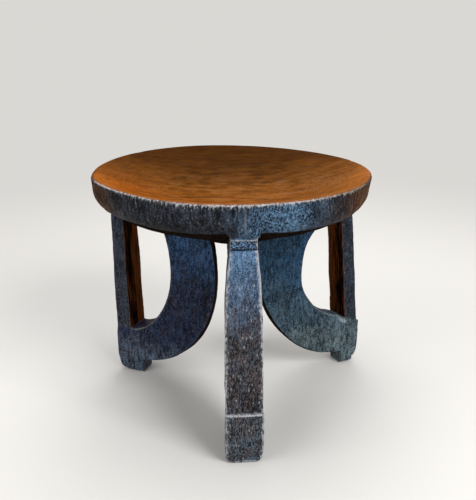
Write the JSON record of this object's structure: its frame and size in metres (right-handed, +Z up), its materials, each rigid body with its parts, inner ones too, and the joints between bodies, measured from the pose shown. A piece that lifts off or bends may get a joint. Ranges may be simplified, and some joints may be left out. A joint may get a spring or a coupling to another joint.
{
  "type": "carved tripod stool",
  "caption": "Low carved hardwood stool: round dished seat on flat splayed legs, each a post and a curved brace round a D-shaped window, ending in a foot block.",
  "frame": {"origin": "on the floor, under the middle of the stool's plan box", "axes": "+Z up, front leg towards -Y, right leg towards +X"},
  "size_m": [0.3222, 0.323, 0.2695],
  "materials": {
    "seat_wood": "sat-on hardwood, brown and softly polished in the dish, near-black on the rim",
    "leg_wood": "near-black patinated hardwood with worn pale edges and tool marks"
  },
  "bodies": {
    "root": {"seat": "seat_wood", "leg_front_post": "leg_wood", "leg_front_brace": "leg_wood", "leg_front_foot": "leg_wood", "leg_left_post": "leg_wood", "leg_left_brace": "leg_wood", "leg_left_foot": "leg_wood", "leg_right_post": "leg_wood", "leg_right_brace": "leg_wood", "leg_right_foot": "leg_wood"}
  },
  "joints": []
}
